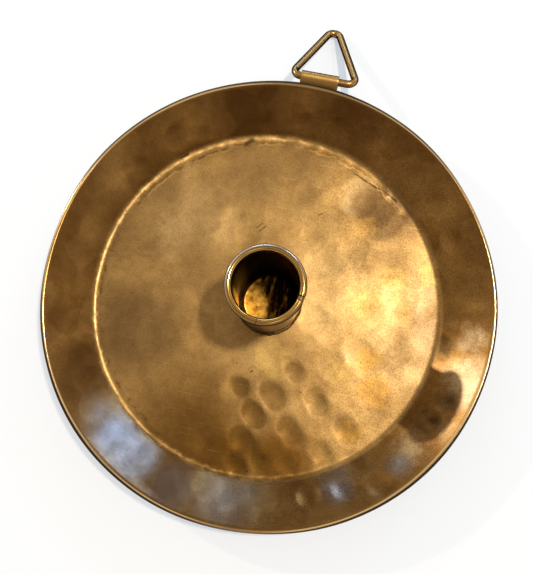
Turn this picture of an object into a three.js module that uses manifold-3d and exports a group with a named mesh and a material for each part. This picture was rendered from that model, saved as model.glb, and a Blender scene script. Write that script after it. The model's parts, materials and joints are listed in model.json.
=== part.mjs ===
// Brass candle plate: a beaten sheet pan with a rolled candle socket in its middle and a wire ring,
// hinged outside the rim, to carry it by or to hang it up.
// Millimetres, +Z up. The origin lies on the pan's axis, on the surface that the plate stands on.
// +Y points from the axis to the ring.
import * as THREE from 'three';
import { mergeVertices } from 'three/addons/utils/BufferGeometryUtils.js';
import Module from 'manifold-3d';

const wasm = await Module();
wasm.setup();

const degrees = THREE.MathUtils.degToRad;

// Pan: one sheet with a flat floor, a sloping wall and an edge folded over outwards.
const PAN_SHEET = 0.9;
const FLOOR_RADIUS = 67; // where floor and wall would meet if the crease were sharp
const CREASE_BEND = 3.5; // radius inside the crease
const RIM_RADIUS = 85;
const RIM_HEIGHT = 14;
const HEM_GAP = 0.3; // left open inside the folded edge
const HEM_DEPTH = 2.5;

// Candle socket: a strip rolled into a tube, its top edge curled outwards around a wire.
const SOCKET_SHEET = 0.55;
const SOCKET_BORE = 22.8;
const SOCKET_HEIGHT = 42; // from the pan's floor to the top of the lip
const LIP_WIRE = 1.25; // diameter of the wire in the lip
const LIP_CLEARANCE = 0.12; // around that wire
const LIP_CURL = degrees(280);
const LIP_NOTCH = 1.5; // the curl stops this short of closing at the seam
const SEAM_GAP = 0.25; // the tube's butt seam
const SEAM_AZIMUTH = degrees(-10); // from +X, seen from above
const SOCKET_X = 0.6; // the socket was set a little off the pan's axis

// Disc in the bottom of the socket, which the candle stands on, with its edge beaten upwards.
const DISC_SHEET = 0.7;
const DISC_CLEARANCE = 0.9; // from its edge to the bore
const DISC_EDGE_BEND = 1.2; // radius inside the turned-up edge
const DISC_EDGE_LIFT = 0.4; // straight end of that edge
const DISC_EDGE_TURN = degrees(55);

// Solder that holds the socket to the floor.
const FOOT_SOLDER = 1.3; // leg of the fillet
const SOLDER_FEATHER = 0.15; // thickness that a fillet keeps at its edges
const SOLDER_GAP = 0.1; // between solder and the sheet beside it

// Hanging ring: a wire bent into a triangle with round corners, its ends meeting inside the knuckle.
const RING_WIRE = 2.9;
const RING_WIDTH = 23.7; // these three are measured on the middle of the wire
const RING_REACH = 27.1;
const RING_CORNER = 2.8;
const RING_END_GAP = 0.5;
const RING_SLIDE = 1.6; // how far the ring has slid along the knuckle

// Hinge strap: a strip rolled into a knuckle around the ring's straight side, lying along the wall below the hem.
const STRAP_SHEET = 0.65;
const STRAP_WIDTH = 14.8;
const STRAP_LEAF = 12; // from the knuckle to the strap's lower end
const STRAP_GAP = 0.4; // from hem to strap, filled with solder
const STRAP_OFFSET = 2.7; // the strap was set a little to one side
const STRAP_SOLDER_TOE = 1.5; // how far the solder runs on below the strap
const KNUCKLE_CLEARANCE = 0.2;
const KNUCKLE_REACH = 2.9; // from the hem's fold to the knuckle's axis, along the wall
const KNUCKLE_TURN = degrees(325);

// Fineness of the faceted surfaces.
const PAN_SIDES = 72;
const SOCKET_SIDES = 48;
const WIRE_SIDES = 10;
const RING_STEPS = 84;
const BEND_STEP = degrees(26);
const MERGE_DISTANCE = 1e-4;

function finish(colour, roughness) {
  return new THREE.MeshStandardMaterial({ color: colour, metalness: 1, roughness });
}

function part(name, geometry, material) {
  const mesh = new THREE.Mesh(geometry, material);
  mesh.name = name;
  return mesh;
}

// A sheet seen edge-on. Its middle line is walked from a start point in runs and bends, where a positive
// turn goes left, and the outline lies half a thickness to either side.
function sheetOutline(start, heading, moves, sheet) {
  const at = start.clone();
  let angle = heading;
  const left = [];
  const right = [];
  const mark = () => {
    const side = new THREE.Vector2(-Math.sin(angle), Math.cos(angle)).multiplyScalar(sheet / 2);
    left.push(at.clone().add(side));
    right.push(at.clone().sub(side));
  };
  mark();
  for (const { run = 0, turn = 0, radius = 0 } of moves) {
    if (turn === 0) {
      at.add(new THREE.Vector2(Math.cos(angle), Math.sin(angle)).multiplyScalar(run));
      mark();
      continue;
    }
    const steps = Math.ceil(Math.abs(turn) / BEND_STEP);
    const toCentre = radius * Math.sign(turn);
    const centre = at.clone().add(new THREE.Vector2(-Math.sin(angle), Math.cos(angle)).multiplyScalar(toCentre));
    for (let step = 0; step < steps; step += 1) {
      at.rotateAround(centre, turn / steps);
      angle += turn / steps;
      mark();
    }
  }
  return [...right, ...left.reverse()];
}

// Turns an outline of radius and height around the Z axis.
function turned(outline, sides) {
  const closesOnAxis = outline[0].x === 0;
  const points = closesOnAxis ? outline : [...outline, outline[0]];
  return new THREE.LatheGeometry(points, sides).rotateX(Math.PI / 2);
}

// Pushes an outline of Y and Z along X, centred on the YZ plane.
function pushed(outline, width) {
  const geometry = new THREE.ExtrudeGeometry(new THREE.Shape(outline), { depth: width, bevelEnabled: false });
  geometry.translate(0, 0, -width / 2);
  const alongX = new THREE.Matrix4().makeBasis(
    new THREE.Vector3(0, 1, 0),
    new THREE.Vector3(0, 0, 1),
    new THREE.Vector3(1, 0, 0),
  );
  return geometry.applyMatrix4(alongX);
}

function toSolid(geometry) {
  const bare = geometry.clone();
  bare.deleteAttribute('normal');
  bare.deleteAttribute('uv');
  const merged = mergeVertices(bare, MERGE_DISTANCE);
  const corners = merged.index.array;
  const faces = [];
  for (let i = 0; i < corners.length; i += 3) {
    const [a, b, c] = corners.slice(i, i + 3);
    if (a !== b && b !== c && c !== a) faces.push(a, b, c);
  }
  return new wasm.Manifold(new wasm.Mesh({
    numProp: 3,
    vertProperties: merged.attributes.position.array,
    triVerts: new Uint32Array(faces),
  }));
}

function toGeometry(solid) {
  const { vertProperties, triVerts } = solid.getMesh();
  const geometry = new THREE.BufferGeometry();
  geometry.setAttribute('position', new THREE.BufferAttribute(vertProperties, 3));
  geometry.setIndex(new THREE.BufferAttribute(triVerts, 1));
  geometry.computeVertexNormals();
  return geometry;
}

// The wall leans out from the crease until it is tangent to the fold of the hem, and that fold touches both the
// rim's radius and its height.
const foldRadius = (HEM_GAP + PAN_SHEET) / 2;
const foldOutside = foldRadius + PAN_SHEET / 2;
const foldCentre = new THREE.Vector2(RIM_RADIUS - foldOutside, RIM_HEIGHT - foldOutside);
const creaseCorner = new THREE.Vector2(FLOOR_RADIUS, PAN_SHEET / 2);
const creaseToFold = foldCentre.clone().sub(creaseCorner);
const wallSlope = creaseToFold.angle() + Math.asin(foldRadius / creaseToFold.length());
const wallLength = Math.sqrt(creaseToFold.lengthSq() - foldRadius ** 2);
const creaseRadius = CREASE_BEND + PAN_SHEET / 2;
const creaseTangent = creaseRadius * Math.tan(wallSlope / 2);
const wallUp = new THREE.Vector2(Math.cos(wallSlope), Math.sin(wallSlope));
const wallOut = new THREE.Vector2(Math.sin(wallSlope), -Math.cos(wallSlope));
const hemOutside = 2 * foldRadius + PAN_SHEET / 2; // from the middle of the wall's sheet to the hem's outer face

// A point in the section through the wall: up the wall from the fold, and outwards from the middle of its sheet.
function besideWall(up, out) {
  return creaseCorner.clone()
    .addScaledVector(wallUp, wallLength + up)
    .addScaledVector(wallOut, out);
}

function makePan() {
  const outline = sheetOutline(new THREE.Vector2(0, PAN_SHEET / 2), 0, [
    { run: FLOOR_RADIUS - creaseTangent },
    { turn: wallSlope, radius: creaseRadius },
    { run: wallLength - creaseTangent },
    { turn: -Math.PI, radius: foldRadius },
    { run: HEM_DEPTH },
  ], PAN_SHEET);
  return part('pan', turned(outline, PAN_SIDES), finish(0x9c7436, 0.34));
}

const boreRadius = SOCKET_BORE / 2;
const socketOutside = boreRadius + SOCKET_SHEET;
const socketTop = PAN_SHEET + SOCKET_HEIGHT;
const curlInside = LIP_WIRE / 2 + LIP_CLEARANCE;
const curlOutside = curlInside + SOCKET_SHEET;
const lipCentre = new THREE.Vector2(boreRadius + curlOutside, socketTop - curlOutside);

function makeSocket() {
  const outline = sheetOutline(new THREE.Vector2(boreRadius + SOCKET_SHEET / 2, PAN_SHEET), Math.PI / 2, [
    { run: lipCentre.y - PAN_SHEET },
    { turn: -LIP_CURL, radius: curlInside + SOCKET_SHEET / 2 },
  ], SOCKET_SHEET);
  const tube = toSolid(turned(outline, SOCKET_SIDES));
  const lipDepth = 4 * curlOutside; // long enough to pass right through the lip
  const notch = new THREE.BoxGeometry(lipDepth, LIP_NOTCH, 2 * curlOutside);
  notch.translate(lipCentre.x, 0, socketTop - curlOutside + SOCKET_SHEET / 2);
  const seam = new THREE.BoxGeometry(lipDepth, SEAM_GAP, 2 * socketTop);
  seam.translate(lipCentre.x, 0, PAN_SHEET);
  const cut = toSolid(notch.rotateZ(SEAM_AZIMUTH)).add(toSolid(seam.rotateZ(SEAM_AZIMUTH)));
  return part('candle_socket', toGeometry(tube.subtract(cut)), finish(0x8f6a30, 0.38));
}

function makeLipWire() {
  const section = new THREE.EllipseCurve(lipCentre.x, lipCentre.y, LIP_WIRE / 2, LIP_WIRE / 2);
  const outline = section.getPoints(WIRE_SIDES).slice(0, WIRE_SIDES);
  return part('lip_wire', turned(outline, SOCKET_SIDES), finish(0xa87f58, 0.4));
}

function makeSocketFloor() {
  const edgeRadius = DISC_EDGE_BEND + DISC_SHEET / 2;
  const edgeWidth = edgeRadius * Math.sin(DISC_EDGE_TURN)
    + DISC_EDGE_LIFT * Math.cos(DISC_EDGE_TURN)
    + DISC_SHEET / 2 * Math.sin(DISC_EDGE_TURN);
  const outline = sheetOutline(new THREE.Vector2(0, PAN_SHEET + DISC_SHEET / 2), 0, [
    { run: boreRadius - DISC_CLEARANCE - edgeWidth },
    { turn: DISC_EDGE_TURN, radius: edgeRadius },
    { run: DISC_EDGE_LIFT },
  ], DISC_SHEET);
  return part('socket_floor', turned(outline, SOCKET_SIDES), finish(0x6f5226, 0.5));
}

function makeFootSolder() {
  const inner = socketOutside + SOLDER_GAP;
  const hollow = FOOT_SOLDER - SOLDER_FEATHER;
  const corner = new THREE.Vector2(inner + FOOT_SOLDER, PAN_SHEET + FOOT_SOLDER);
  const face = new THREE.EllipseCurve(corner.x, corner.y, hollow, hollow, -Math.PI / 2, -Math.PI, true);
  const outline = [
    new THREE.Vector2(inner, PAN_SHEET),
    new THREE.Vector2(corner.x, PAN_SHEET),
    ...face.getPoints(WIRE_SIDES / 2),
    new THREE.Vector2(inner, corner.y),
  ];
  return part('foot_solder', turned(outline, SOCKET_SIDES), finish(0x77705f, 0.55));
}

const knuckleRadius = RING_WIRE / 2 + KNUCKLE_CLEARANCE + STRAP_SHEET / 2;
const strapMiddle = hemOutside + STRAP_GAP + STRAP_SHEET / 2; // out from the middle of the wall's sheet
const knuckleAxis = besideWall(KNUCKLE_REACH, strapMiddle + knuckleRadius);
const strapEnd = KNUCKLE_REACH - STRAP_LEAF; // up the wall from the fold

function makeStrap() {
  const outline = sheetOutline(besideWall(strapEnd, strapMiddle), wallSlope, [
    { run: STRAP_LEAF },
    { turn: -KNUCKLE_TURN, radius: knuckleRadius },
  ], STRAP_SHEET);
  const strap = part('hinge_strap', pushed(outline, STRAP_WIDTH), finish(0xa27b3c, 0.36));
  strap.position.x = STRAP_OFFSET;
  return strap;
}

// Fills the room between the strap and the pan, and is cut off a gap short of the pan's wall and hem.
function makeStrapSolder() {
  const strapInside = strapMiddle - STRAP_SHEET / 2;
  const filler = pushed([
    besideWall(strapEnd - STRAP_SOLDER_TOE, 0),
    besideWall(strapEnd, strapInside),
    besideWall(0, strapInside),
    besideWall(0, 0),
  ], STRAP_WIDTH).translate(STRAP_OFFSET, 0, 0);
  const wallFace = PAN_SHEET / 2 + SOLDER_GAP;
  const hemFace = hemOutside + SOLDER_GAP;
  const hemEnd = -HEM_DEPTH - SOLDER_GAP;
  const wallFoot = besideWall(-wallLength, wallFace);
  const hemTop = besideWall(RIM_HEIGHT, hemFace);
  const panSide = turned([
    new THREE.Vector2(0, wallFoot.y),
    wallFoot,
    besideWall(hemEnd, wallFace),
    besideWall(hemEnd, hemFace),
    hemTop,
    new THREE.Vector2(0, hemTop.y),
  ], PAN_SIDES);
  const solid = toSolid(filler).subtract(toSolid(panSide));
  return part('strap_solder', toGeometry(solid), finish(0x77705f, 0.55));
}

// The ring's middle line in its own plane, X along the knuckle and Y away from it: three equal round corners
// joined by straight sides, walked from one wire end to the other.
function makeRing() {
  const middles = [
    new THREE.Vector2(RING_WIDTH / 2 - RING_CORNER, RING_CORNER),
    new THREE.Vector2(0, RING_REACH - RING_CORNER),
    new THREE.Vector2(RING_CORNER - RING_WIDTH / 2, RING_CORNER),
  ];
  const sideNormal = middles[1].clone().sub(middles[0]).angle() - Math.PI / 2;
  const normals = [-Math.PI / 2, sideNormal, Math.PI - sideNormal, Math.PI * 1.5];
  const onCorner = (middle, angle) => new THREE.Vector3(
    middle.x + RING_CORNER * Math.cos(angle),
    middle.y + RING_CORNER * Math.sin(angle),
    0,
  );
  const path = new THREE.CurvePath();
  let from = new THREE.Vector3(RING_END_GAP / 2, 0, 0);
  middles.forEach((middle, corner) => {
    const start = onCorner(middle, normals[corner]);
    const end = onCorner(middle, normals[corner + 1]);
    const turn = normals[corner + 1] - normals[corner];
    const handle = RING_CORNER * 4 / 3 * Math.tan(turn / 4);
    const leave = new THREE.Vector3(-Math.sin(normals[corner]), Math.cos(normals[corner]), 0);
    const arrive = new THREE.Vector3(-Math.sin(normals[corner + 1]), Math.cos(normals[corner + 1]), 0);
    path.add(new THREE.LineCurve3(from, start));
    path.add(new THREE.CubicBezierCurve3(
      start,
      start.clone().addScaledVector(leave, handle),
      end.clone().addScaledVector(arrive, -handle),
      end,
    ));
    from = end;
  });
  path.add(new THREE.LineCurve3(from, new THREE.Vector3(-RING_END_GAP / 2, 0, 0)));
  const section = new THREE.Shape().absarc(0, 0, RING_WIRE / 2, 0, 2 * Math.PI);
  const geometry = new THREE.ExtrudeGeometry(section, {
    extrudePath: path,
    steps: RING_STEPS,
    curveSegments: WIRE_SIDES / 2,
  });
  return part('hanging_ring', geometry, finish(0xb08a4a, 0.3));
}

const socket = new THREE.Group();
socket.position.x = SOCKET_X;
socket.add(makeSocket(), makeLipWire(), makeSocketFloor(), makeFootSolder());

const plate = new THREE.Group();
plate.add(makePan(), socket, makeStrap(), makeStrapSolder());

// The ring hangs from the knuckle's axis and has dropped until its far end rests on the table.
const ringDrop = Math.asin((knuckleAxis.y - RING_WIRE / 2) / RING_REACH);
const ring = new THREE.Group();
ring.position.set(STRAP_OFFSET + RING_SLIDE, knuckleAxis.x, knuckleAxis.y);
ring.rotation.x = -ringDrop;
ring.add(makeRing());

const candlePlate = new THREE.Group();
candlePlate.add(plate, ring);

export default candlePlate;
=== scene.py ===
# %% [markdown]
# # A beaten brass candle plate
# The plate is sheet work: a pan raised by hammer, a candle socket rolled from a strip, and a wire ring in a
# rolled hinge. Its solids already stand in the scene as a fixed frame, at their real size, in metres. This
# lesson builds the finely modelled pieces around that frame, in the order in which a smith would make them,
# and gives each its own finish.

# %% Load the frame
import json
import math
import random

import bmesh
import bpy
from mathutils import Euler, Matrix, Vector, kdtree


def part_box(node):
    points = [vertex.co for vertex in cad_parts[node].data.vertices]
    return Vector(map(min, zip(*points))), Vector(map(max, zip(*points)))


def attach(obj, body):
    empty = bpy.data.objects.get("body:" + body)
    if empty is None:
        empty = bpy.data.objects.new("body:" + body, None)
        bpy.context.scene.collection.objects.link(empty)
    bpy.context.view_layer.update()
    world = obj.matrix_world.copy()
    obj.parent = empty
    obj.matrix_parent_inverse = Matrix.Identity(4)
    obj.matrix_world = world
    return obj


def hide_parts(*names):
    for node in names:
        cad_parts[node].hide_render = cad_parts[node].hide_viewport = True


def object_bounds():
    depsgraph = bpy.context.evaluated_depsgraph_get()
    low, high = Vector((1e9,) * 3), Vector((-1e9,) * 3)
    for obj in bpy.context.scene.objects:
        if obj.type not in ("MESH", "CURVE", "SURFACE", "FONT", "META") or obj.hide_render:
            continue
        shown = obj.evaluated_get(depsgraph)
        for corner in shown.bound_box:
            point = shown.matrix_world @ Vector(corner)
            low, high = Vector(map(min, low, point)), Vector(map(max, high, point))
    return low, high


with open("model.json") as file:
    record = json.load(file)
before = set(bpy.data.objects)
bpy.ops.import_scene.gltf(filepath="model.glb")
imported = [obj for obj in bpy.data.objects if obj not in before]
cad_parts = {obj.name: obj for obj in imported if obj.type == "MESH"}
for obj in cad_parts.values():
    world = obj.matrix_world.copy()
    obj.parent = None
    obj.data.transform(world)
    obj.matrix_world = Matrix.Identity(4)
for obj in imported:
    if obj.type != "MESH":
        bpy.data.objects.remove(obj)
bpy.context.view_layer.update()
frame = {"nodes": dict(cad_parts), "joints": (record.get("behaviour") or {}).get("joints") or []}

MM = 0.001
print("frame nodes:", sorted(frame["nodes"]))

# %% [markdown]
# ## The camera
# The photograph looks almost straight down on the plate from a forearm's length away, so the lens is a
# short one and the socket leans outwards in the picture. A camera with no rotation already looks straight
# down, and two small tilts and one turn about the vertical bring it to the photograph's view. It comes
# first, because hammer marks are placed by their pixels in the photograph, and a pixel only has a place on
# the pan once the camera is known.

# %% Place the camera
PHOTO_SIZE = Vector((533, 574))
FOCAL_PIXELS = 748.7
SENSOR_MM = 36.0
PICTURE_TURN = math.radians(11.5)  # the ring stands this far to the right of the picture's upright
CAMERA_FROM_PLATE = Vector((0.00998, -0.03905, 0.2881))  # metres to the right, upwards in the picture and high
CAMERA_TILT = (0.15544, 0.03577)
camera_place = Matrix.Rotation(PICTURE_TURN, 3, "Z") @ CAMERA_FROM_PLATE

bpy.ops.object.select_all(action="DESELECT")
bpy.ops.object.camera_add(location=camera_place)
camera = bpy.context.object
camera.rotation_mode = "YXZ"
camera.rotation_euler = Euler((*CAMERA_TILT, PICTURE_TURN), "YXZ")
camera.data.sensor_width = SENSOR_MM
camera.data.lens = FOCAL_PIXELS * SENSOR_MM / max(PHOTO_SIZE)
camera.data.clip_start = 0.01
bpy.context.scene.camera = camera
bpy.context.view_layer.update()
print("camera lens, mm:", round(camera.data.lens, 2))

# %% [markdown]
# ## Drawing sheet metal
# Every sheet piece on the plate is a line seen edge-on, made of straight runs and bends. By hand that line
# is drawn with two tools: Extrude pulls a vertex along a run, and Spin swings it round a bend. A small
# helper keeps track of where the line ends and which way it heads, so each piece reads like a bending plan.

# %% A line of sheet
WELD = 0.001 * MM  # points closer than this become one


def swing_round(sides, angle=math.tau):
    """Swings all that is drawn round the Z axis and closes it on itself."""
    bpy.ops.mesh.select_all(action="SELECT")
    bpy.ops.mesh.spin(steps=sides, angle=angle, center=(0, 0, 0), axis=(0, 0, -1))
    bpy.ops.mesh.select_all(action="SELECT")
    bpy.ops.mesh.remove_doubles(threshold=WELD)
    bpy.ops.mesh.normals_make_consistent(inside=False)


class SheetLine:
    """A line drawn in the XZ plane in edit mode, X outwards and Z up; a positive bend turns it upwards."""

    def __init__(self, name, x, z, heading=0.0):
        bpy.ops.object.select_all(action="DESELECT")
        bpy.ops.mesh.primitive_plane_add(size=MM, location=(0, 0, 0))
        self.piece = bpy.context.object
        self.piece.name = name
        self.piece.data.name = name
        bpy.ops.object.mode_set(mode="EDIT")
        bpy.ops.mesh.select_all(action="SELECT")
        bpy.ops.mesh.merge(type="CENTER")
        bpy.ops.transform.translate(value=(x, 0, z))
        self.at = Vector((x, 0, z))
        self.heading = heading

    def run(self, length, parts=1):
        step = Vector((math.cos(self.heading), 0, math.sin(self.heading))) * (length / parts)
        for _ in range(parts):
            bpy.ops.mesh.extrude_region_move(TRANSFORM_OT_translate={"value": step})
            self.at += step

    def bend(self, turn, radius, steps):
        side = Vector((-math.sin(self.heading), 0, math.cos(self.heading))) * math.copysign(radius, turn)
        centre = self.at + side
        bpy.ops.mesh.spin(steps=steps, angle=turn, center=centre, axis=(0, 1, 0))
        self.heading += turn
        self.at = centre + Matrix.Rotation(-turn, 3, "Y") @ -side

    def turn_round(self, sides, angle=math.tau):
        swing_round(sides, angle)
        bpy.ops.object.mode_set(mode="OBJECT")
        return self.piece


print("points are joined within, mm:", WELD / MM)

# %% [markdown]
# ## The pan
# The pan is one round of sheet: a flat floor, a wall that leans out, and an edge folded over so that it
# isn't sharp. It could be a cylinder primitive pushed into shape, but a line swung round the axis follows
# the real bending plan and puts the points where the hammer needs them. The line is the middle of the
# sheet, and the sheet gets its thickness last, so that every dent shows on the underside too.

# %% Raise the pan
PAN_SHEET = 0.9 * MM
FLOOR_RADIUS = 67 * MM
CREASE_BEND = 3.5 * MM
HEM_GAP = 0.3 * MM
HEM_DEPTH = 2.5 * MM
PAN_SIDES = 420

pan_low, pan_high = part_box("pan")
rim_radius = pan_high.x
rim_height = pan_high.z
fold_radius = (HEM_GAP + PAN_SHEET) / 2
fold_outside = fold_radius + PAN_SHEET / 2
crease_to_fold = Vector((rim_radius - fold_outside - FLOOR_RADIUS, rim_height - fold_outside - PAN_SHEET / 2))
wall_slope = math.atan2(crease_to_fold.y, crease_to_fold.x) + math.asin(fold_radius / crease_to_fold.length)
wall_length = math.sqrt(crease_to_fold.length_squared - fold_radius**2)
crease_radius = CREASE_BEND + PAN_SHEET / 2
crease_tangent = crease_radius * math.tan(wall_slope / 2)

line = SheetLine("beaten_pan", 0.0, PAN_SHEET / 2)
line.run(FLOOR_RADIUS - crease_tangent, parts=66)
line.bend(wall_slope, crease_radius, steps=7)
line.run(wall_length - crease_tangent, parts=20)
line.bend(-math.pi, fold_radius, steps=8)
line.run(HEM_DEPTH, parts=2)
pan = line.turn_round(PAN_SIDES)
print("wall slope, degrees:", round(math.degrees(wall_slope), 2), "hem end:", line.at)

# %% [markdown]
# ## A hammer
# Hammering is proportional editing: one point is picked and pushed, and the metal within reach follows.
# Sculpt mode has brushes for it, but they need a hand on a mouse. This helper finds the point nearest to
# each blow, so a blow is no more than a place, a push and a reach.

# %% Make a hammer
def only(piece):
    """Makes a piece the only selected one, in object mode."""
    if bpy.context.mode != "OBJECT":
        bpy.ops.object.mode_set(mode="OBJECT")
    bpy.ops.object.select_all(action="DESELECT")
    piece.select_set(True)
    bpy.context.view_layer.objects.active = piece


def strike(piece, blows, falloff="INVERSE_SQUARE"):
    """Hammers a piece. A blow is (place, push, reach): the nearest point moves by push, and the metal within
    reach follows, with the rounded fall-off that a ball-faced hammer leaves."""
    only(piece)
    tree = kdtree.KDTree(len(piece.data.vertices))
    for vertex in piece.data.vertices:
        tree.insert(vertex.co, vertex.index)
    tree.balance()
    bpy.ops.object.mode_set(mode="EDIT")
    for place, push, reach in blows:
        bpy.ops.mesh.select_all(action="DESELECT")
        mesh = bmesh.from_edit_mesh(piece.data)
        mesh.verts.ensure_lookup_table()
        mesh.verts[tree.find(place)[1]].select_set(True)
        bpy.ops.transform.translate(
            value=push,
            use_proportional_edit=True,
            proportional_edit_falloff=falloff,
            proportional_size=reach,
        )
    bpy.ops.object.mode_set(mode="OBJECT")
    print(piece.name, "hammer blows:", len(blows))


print("the pan has points to strike:", len(pan.data.vertices))

# %% [markdown]
# ## Hammer marks
# A ball-faced hammer leaves shallow dents, round or a little oval. In the photograph the clearest ones lie in
# the lower half of the floor and all round the wall. Each is two pulls with proportional editing, close
# beside each other: the inverse-square fall-off comes near the shape of a ball pressed into sheet. Dents
# that show well are placed by their pixel in the photograph, and the camera carries that pixel down to the
# pan. The rest are scattered, always with the same seed.

# %% From a pixel to the pan
def surface_height(radius):
    """Height of the pan's inner face at a distance from the axis."""
    if radius < FLOOR_RADIUS:
        return PAN_SHEET
    return PAN_SHEET + (radius - FLOOR_RADIUS) * math.tan(wall_slope)


def on_pan(pixel_x, pixel_y):
    """The place on the pan that a pixel of the photograph shows."""
    sight = Vector((pixel_x - PHOTO_SIZE.x / 2, PHOTO_SIZE.y / 2 - pixel_y, -FOCAL_PIXELS))
    sight = camera.rotation_euler.to_matrix() @ sight
    height = PAN_SHEET
    for _ in range(8):
        place = camera_place + sight * ((height - camera_place.z) / sight.z)
        height = surface_height(place.xy.length)
    return place


def inward_normal(place):
    """The direction that the pan's inner face looks in."""
    if place.xy.length < FLOOR_RADIUS:
        return Vector((0, 0, 1))
    out = place.xy.normalized()
    return Vector((-out.x * math.sin(wall_slope), -out.y * math.sin(wall_slope), math.cos(wall_slope)))


print("the picture's middle lies at:", on_pan(*(PHOTO_SIZE / 2)))

# %% [markdown]
# The lists below were read off the photograph. Deep dents have a sharp edge and shade of their own,
# soft ones only bend the light. Before both, wide shallow waves take the flatness out of the floor, and two
# rows of light blows go round the wall.

# %% Beat the pan
DEEP_DENTS = [  # pixel x, pixel y, width in millimetres, part of the full depth
    (243, 387, 10, 0.6), (256, 415, 10, 1.0), (245, 440, 10.5, 1.0), (275, 394, 11.5, 0.8),
    (297, 373, 8.5, 0.8), (318, 401, 9.5, 1.0), (292, 430, 9.5, 1.0), (348, 431, 10, 0.9),
    (325, 455, 9, 0.8), (288, 464, 8, 0.4), (261, 463, 8, 0.6), (238, 466, 9, 0.9),
    (307, 123, 9, 0.8), (339, 127, 9, 0.9), (373, 138, 10, 1.0), (402, 147, 10, 0.8), (417, 175, 10, 0.8),
    (177, 137, 11, 0.8), (145, 168, 10, 0.6), (345, 487, 10, 0.7), (310, 497, 10, 0.7), (380, 484, 10, 0.7),
    (440, 205, 10, 0.7), (455, 240, 9, 0.7), (270, 120, 9, 0.6), (446, 401, 7, 1.0), (430, 421, 6.5, 1.0),
]
SOFT_DENTS = [
    (273, 357, 10, 0.3), (336, 368, 11, 0.35), (367, 361, 12, 0.5), (373, 394, 13, 0.5), (398, 345, 12, 0.4),
    (401, 310, 12, 0.4), (366, 303, 12, 0.35), (393, 279, 11, 0.4), (311, 236, 11, 0.3), (365, 227, 13, 0.35),
    (360, 253, 12, 0.45), (368, 205, 12, 0.4), (205, 440, 11, 0.4), (330, 330, 11, 0.3),
]
DENT_DEPTH = 0.2 * MM
OVAL_SLANT = math.radians(55)  # the dents are ovals that lean this way in the picture
OVAL_SHIFT = 0.2  # each oval is two blows, this part of its width to either side
WALL_SHIFT = 0.05  # the same on the wall
SLANT_STEP = 10  # pixels along the slant, to find its direction on the pan
WAVE_COUNT = 60
WAVE_FIELD = 62 * MM
ROW_STEP = 9 * MM
WALL_ROWS = [72 * MM, 78 * MM]
chance = random.Random(7)

waves = []
for _ in range(WAVE_COUNT):
    angle = chance.uniform(0, math.tau)
    distance = math.sqrt(chance.uniform(0.06, 1.0)) * WAVE_FIELD
    place = Vector((distance * math.cos(angle), distance * math.sin(angle), PAN_SHEET))
    waves.append((place, Vector((0, 0, -chance.uniform(0.06, 0.18) * MM)), chance.uniform(5, 9) * MM))
strike(pan, waves)


def ball_marks(dents):
    """Two blows for each dent, side by side: a slanting oval on the floor, and nearly round on the wall."""
    blows = []
    along_x, along_y = SLANT_STEP * math.cos(OVAL_SLANT), SLANT_STEP * math.sin(OVAL_SLANT)
    for pixel_x, pixel_y, width, depth in dents:
        middle = on_pan(pixel_x, pixel_y)
        slant = on_pan(pixel_x + along_x, pixel_y + along_y) - middle
        slant.normalize()
        on_floor = middle.xy.length < FLOOR_RADIUS
        for way in (-1, 1):
            place = middle + slant * way * (OVAL_SHIFT if on_floor else WALL_SHIFT) * width * MM
            blows.append((place, -inward_normal(place) * DENT_DEPTH * depth, width * MM / 2))
    return blows


row_blows = []
for row, radius in enumerate(WALL_ROWS):
    count = round(math.tau * radius / ROW_STEP)
    for number in range(count):
        angle = (number + 0.5 * row + chance.uniform(-0.2, 0.2)) * math.tau / count
        reach = chance.uniform(4.0, 6.0) * MM
        distance = radius + chance.uniform(-1, 1) * MM
        place = Vector((distance * math.cos(angle), distance * math.sin(angle), surface_height(distance)))
        row_blows.append((place, -inward_normal(place) * chance.uniform(0.02, 0.06) * MM, reach))
strike(pan, row_blows + ball_marks(SOFT_DENTS))
before = [vertex.co.copy() for vertex in pan.data.vertices]
strike(pan, ball_marks(DEEP_DENTS))

# %% [markdown]
# Tarnish stays in deep hollows that a polishing cloth skips. So each point of the pan remembers how far the
# deep dents pushed it, as an attribute of the mesh, and the finish can darken the metal there.

# %% Remember the hollows
hollow = pan.data.attributes.new("hollow", "FLOAT", "POINT")
for vertex, place in zip(pan.data.vertices, before):
    hollow.data[vertex.index].value = (vertex.co - place).length / (2 * DENT_DEPTH)
print("deepest hollow:", round(max(point.value for point in hollow.data), 2))

# %% [markdown]
# The crease was driven in with a narrow hammer, blow beside blow, and its line wavers. At the top of the
# picture a second row of blows left a groove just inside it.

# %% Drive in the crease
CREASE_ROWS = [  # distance from the axis in millimetres, first and last angle in the picture, deepest blow
    (64.6, 235, 330, 0.16), (66.6, 130, 300, 0.16), (66.2, 60, 130, 0.1),
]
blows = []
for radius, first, last, deepest in CREASE_ROWS:
    angle = math.radians(first)
    while angle < math.radians(last):
        turn = PICTURE_TURN - angle
        distance = (radius + chance.uniform(-0.5, 0.5)) * MM
        place = Vector((distance * math.cos(turn), distance * math.sin(turn), PAN_SHEET))
        push = Vector((0, 0, -chance.uniform(0.1, 1.0) * deepest * MM))
        blows.append((place, push, chance.uniform(1.6, 4.0) * MM))
        angle += chance.uniform(1.0, 4.5) / radius
strike(pan, blows, "SMOOTH")

# %% [markdown]
# ## Out of true
# Hand work is never quite round. Compared with a true circle, this rim swells a little beside the ring and
# is flat in a few other places, and the floor lies a little to the left of the middle. Wide pulls with
# proportional editing give both, and the smooth fall-off leaves no mark of its own.

# %% Thickness and smooth shading
def apply_modifier(piece, kind, **settings):
    only(piece)
    modifier = piece.modifiers.new(kind.title(), kind)
    for name, value in settings.items():
        setattr(modifier, name, value)
    bpy.ops.object.modifier_apply(modifier=modifier.name)


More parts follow.
